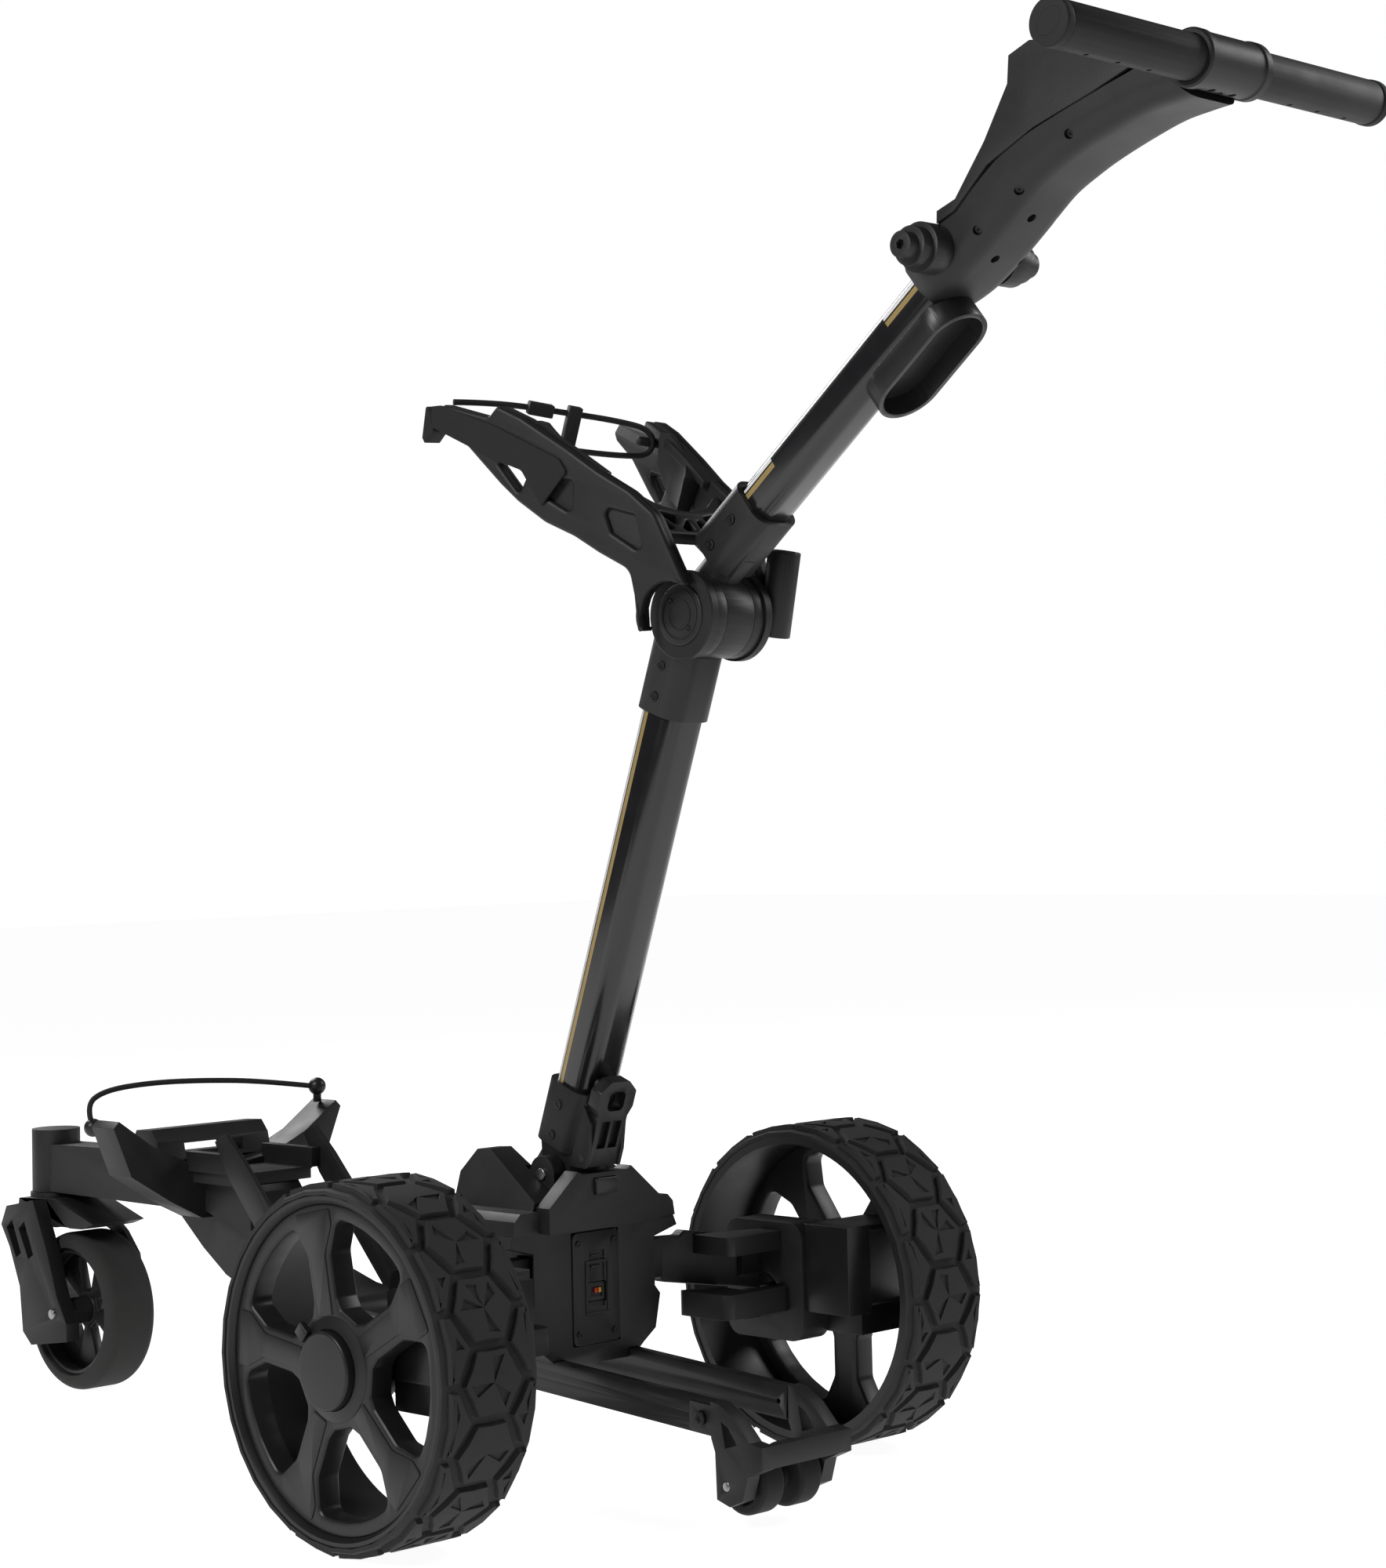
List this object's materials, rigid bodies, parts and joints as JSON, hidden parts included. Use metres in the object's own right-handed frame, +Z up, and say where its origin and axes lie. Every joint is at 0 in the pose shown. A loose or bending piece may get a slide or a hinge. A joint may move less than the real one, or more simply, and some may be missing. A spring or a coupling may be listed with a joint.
{
  "type": "electric golf trolley",
  "caption": "Folding electric golf trolley: driven rear wheels, a swivel front wheel, bag cradles, a hinged mast and a handle with a console.",
  "frame": {"origin": "on the ground under the middle of the unfolded trolley's bounding box", "axes": "+X to the trolley's right, +Y forward to the swivel wheel, +Z up"},
  "size_m": [0.61, 1.525, 1.1018],
  "materials": {
    "rail_paint": "satin",
    "tube_paint": "gloss",
    "casting": "satin",
    "motor_paint": "satin",
    "steel": "satin",
    "body_plastic": "fine textured",
    "frame_plastic": "fine textured",
    "console_plastic": "fine textured",
    "hood_plastic": "semi gloss",
    "button_plastic": "semi gloss",
    "rim_plastic": "satin",
    "tyre_rubber": "matte",
    "soft_rubber": "matte",
    "grip_rubber": "matte",
    "bungee_cover": "woven",
    "webbing": "woven",
    "battery_case": "smooth",
    "circuit_board": "smooth"
  },
  "bodies": {
    "chassis": {"rail_right": "rail_paint", "rail_left": "rail_paint", "pivot_pins": "steel", "tail_bracket": "casting", "chassis_screws": "steel", "body_shell": "body_plastic", "rear_panel": "body_plastic", "battery_pack": "battery_case", "control_board": "circuit_board", "body_cover": "body_plastic", "drive_arm_right": "frame_plastic", "drive_arm_left": "frame_plastic", "gear_case_right": "casting", "gear_case_left": "casting", "motor_right": "motor_paint", "motor_left": "motor_paint"},
    "rollers": {"tail_rollers": "soft_rubber"},
    "wheel_right": {"tyre_right": "tyre_rubber", "rim_right": "rim_plastic", "hub_cap_right": "rim_plastic", "drive_shaft_right": "steel"},
    "wheel_left": {"tyre_left": "tyre_rubber", "rim_left": "rim_plastic", "hub_cap_left": "rim_plastic", "drive_shaft_left": "steel"},
    "catch_right": {"wheel_catch_right": "button_plastic"},
    "catch_left": {"wheel_catch_left": "button_plastic"},
    "release": {"release_button": "button_plastic"},
    "front": {"front_arm": "frame_plastic", "lower_cradle": "frame_plastic", "cradle_braces": "frame_plastic", "lower_bungee": "bungee_cover", "bungee_fittings": "steel"},
    "caster": {"caster_fork": "frame_plastic", "caster_axle": "steel"},
    "caster_wheel": {"caster_rim": "rim_plastic", "caster_tyre": "tyre_rubber"},
    "mast": {"mast_socket": "frame_plastic", "lower_tube": "tube_paint", "lower_clamp": "casting", "drum_caps": "frame_plastic", "upper_cradle": "frame_plastic", "cradle_pad_right": "soft_rubber", "cradle_pad_left": "soft_rubber", "cradle_strap": "webbing", "upper_bungee": "bungee_cover", "bungee_links": "soft_rubber", "accessory_tube": "frame_plastic", "mast_screws": "steel"},
    "latch": {"mast_latch": "button_plastic"},
    "handle": {"upper_clamp": "casting", "upper_tube": "tube_paint", "handle_screws": "steel", "console_base": "console_plastic", "console_hood": "hood_plastic", "handlebar": "grip_rubber", "bar_caps": "soft_rubber", "accessory_posts": "console_plastic", "remote_holder": "frame_plastic"},
    "power": {"power_button": "button_plastic"}
  },
  "joints": [
    {"name": "roller_spin", "type": "hinge", "parent": "chassis", "child": "rollers", "pos_m": [0, -0.27148, 0.035], "axis": [1, 0, 0], "continuous": true},
    {"name": "wheel_spin_right", "type": "hinge", "parent": "chassis", "child": "wheel_right", "pos_m": [0.254, -0.09948, 0.14], "axis": [1, 0, 0], "continuous": true},
    {"name": "wheel_spin_left", "type": "hinge", "parent": "chassis", "child": "wheel_left", "pos_m": [-0.254, -0.09948, 0.14], "axis": [1, 0, 0], "continuous": true},
    {"name": "catch_press_right", "type": "slide", "parent": "wheel_right", "child": "catch_right", "axis": [-1, 0, 0], "range_m": [0, 0.003], "stiffness_N_per_m": 400, "springref_m": -0.001},
    {"name": "catch_press_left", "type": "slide", "parent": "wheel_left", "child": "catch_left", "axis": [1, 0, 0], "range_m": [0, 0.003], "stiffness_N_per_m": 400, "springref_m": -0.001},
    {"name": "release_press", "type": "slide", "parent": "chassis", "child": "release", "axis": [0, 1, 0], "range_m": [0, 0.003], "stiffness_N_per_m": 600, "springref_m": -0.001},
    {"name": "front_fold", "type": "hinge", "parent": "chassis", "child": "front", "pos_m": [0, 0.23052, 0.11476], "axis": [-1, 0, 0], "range_deg": [0, 150]},
    {"name": "caster_swivel", "type": "hinge", "parent": "front", "child": "caster", "pos_m": [0, 0.73052, 0.2], "axis": [0, 0, 1], "continuous": true},
    {"name": "caster_spin", "type": "hinge", "parent": "caster", "child": "caster_wheel", "pos_m": [0, 0.67052, 0.077], "axis": [1, 0, 0], "continuous": true},
    {"name": "mast_fold", "type": "hinge", "parent": "chassis", "child": "mast", "pos_m": [0, -0.04748, 0.258], "axis": [-1, 0, 0], "range_deg": [0, 90]},
    {"name": "latch_release", "type": "hinge", "parent": "mast", "child": "latch", "pos_m": [0, -0.08056, 0.27237], "axis": [1, 0, 0], "range_deg": [0, 25], "stiffness_Nm_per_rad": 0.3, "springref_deg": -20.05},
    {"name": "handle_fold", "type": "hinge", "parent": "mast", "child": "handle", "pos_m": [0, -0.22836, 0.71139], "axis": [1, 0, 0], "range_deg": [0, 110]},
    {"name": "power_press", "type": "slide", "parent": "handle", "child": "power", "axis": [0, 0.0868, -0.9962], "range_m": [0, 0.0015], "stiffness_N_per_m": 500, "springref_m": -0.001}
  ],
  "couplings": [
    {"joint": "front_fold", "follows": "mast_fold", "ratio": 1.6667}
  ]
}
